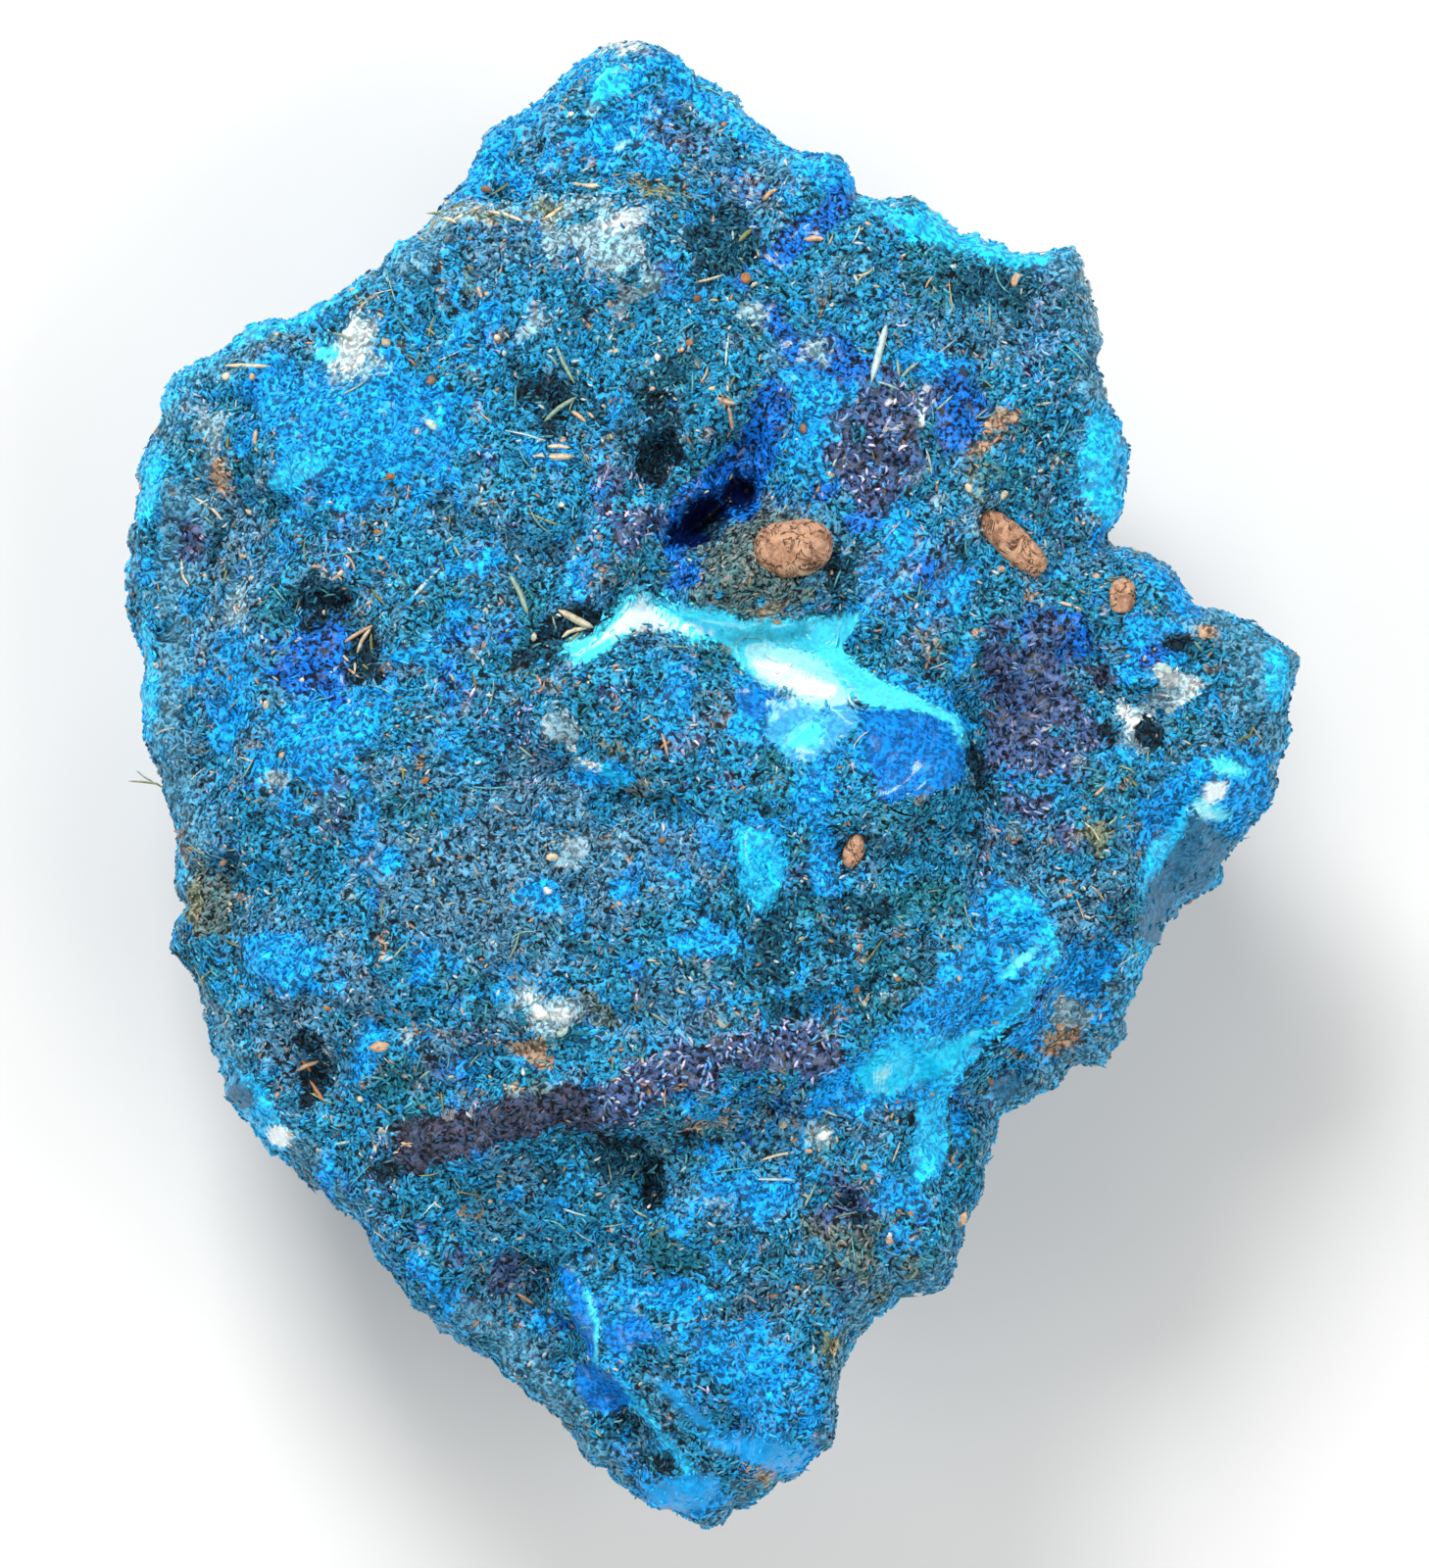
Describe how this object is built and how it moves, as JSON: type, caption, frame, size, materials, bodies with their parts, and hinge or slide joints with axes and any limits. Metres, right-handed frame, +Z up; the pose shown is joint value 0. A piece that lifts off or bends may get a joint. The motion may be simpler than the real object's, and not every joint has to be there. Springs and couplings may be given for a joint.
{
  "type": "rough turquoise",
  "caption": "Rough lump of blue turquoise ore with a knobbly grain-crusted face, glossy cyan ledges, a violet seam and brown pebbles bedded in it, lying on its broken back.",
  "frame": {"origin": "middle of the bounding box's base, on the plane that the stone rests on", "axes": "+Z up out of the stone's best face, +Y from its pointed bottom end to its peak, +X to the right as the face is looked at"},
  "size_m": [0.1192, 0.1516, 0.0536],
  "materials": {
    "turquoise": "rough, grainy, with glossy cyan and violet breaks",
    "brown_pebble": "matt, dusty",
    "straw": "dry, slightly shiny"
  },
  "bodies": {
    "root": {"turquoise_stone": "turquoise", "round_brown_pebble": "brown_pebble", "long_brown_pebble": "brown_pebble", "small_brown_pebble": "brown_pebble", "red_brown_chip": "brown_pebble"}
  },
  "joints": []
}
